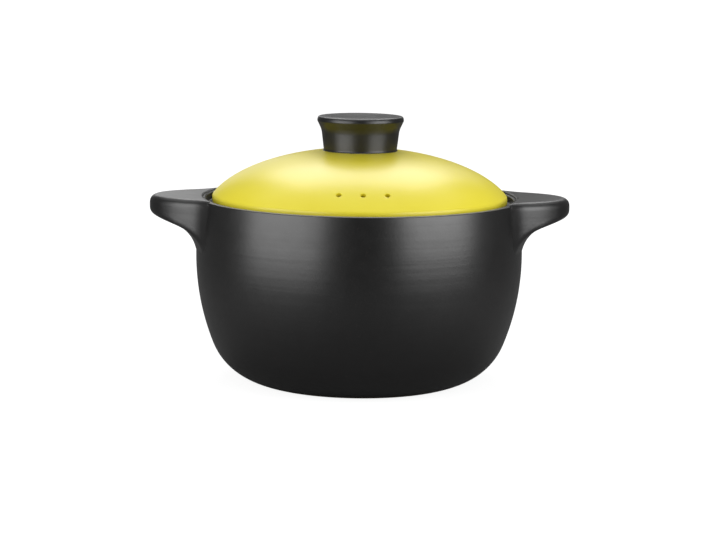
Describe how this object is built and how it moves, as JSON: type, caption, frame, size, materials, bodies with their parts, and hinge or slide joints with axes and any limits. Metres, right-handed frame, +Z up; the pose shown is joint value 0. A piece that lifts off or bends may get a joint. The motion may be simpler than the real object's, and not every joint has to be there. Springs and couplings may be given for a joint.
{
  "type": "covered clay casserole",
  "caption": "Round-bellied covered clay pot for the stove, with half-moon ears at the rim and a domed lid that lifts off by a flared knob and has steam vents.",
  "frame": {"origin": "centre of the foot, on the surface that the pot stands on", "axes": "+X through the ears, -Y the side with the steam vents, +Z up along the axis of the pot"},
  "size_m": [0.283, 0.22, 0.1781],
  "materials": {
    "black_glaze": "semi-matte black glaze on stoneware",
    "yellow_glaze": "satin yellow glaze on stoneware"
  },
  "bodies": {
    "pot": {"pot_body": "black_glaze", "ear_left": "black_glaze", "ear_right": "black_glaze"},
    "lid": {"lid_shell": "yellow_glaze", "knob": "black_glaze"}
  },
  "joints": [
    {"name": "lid_lift", "type": "slide", "parent": "pot", "child": "lid", "axis": [0, 0, 1], "range_m": [0, 0.12]}
  ]
}
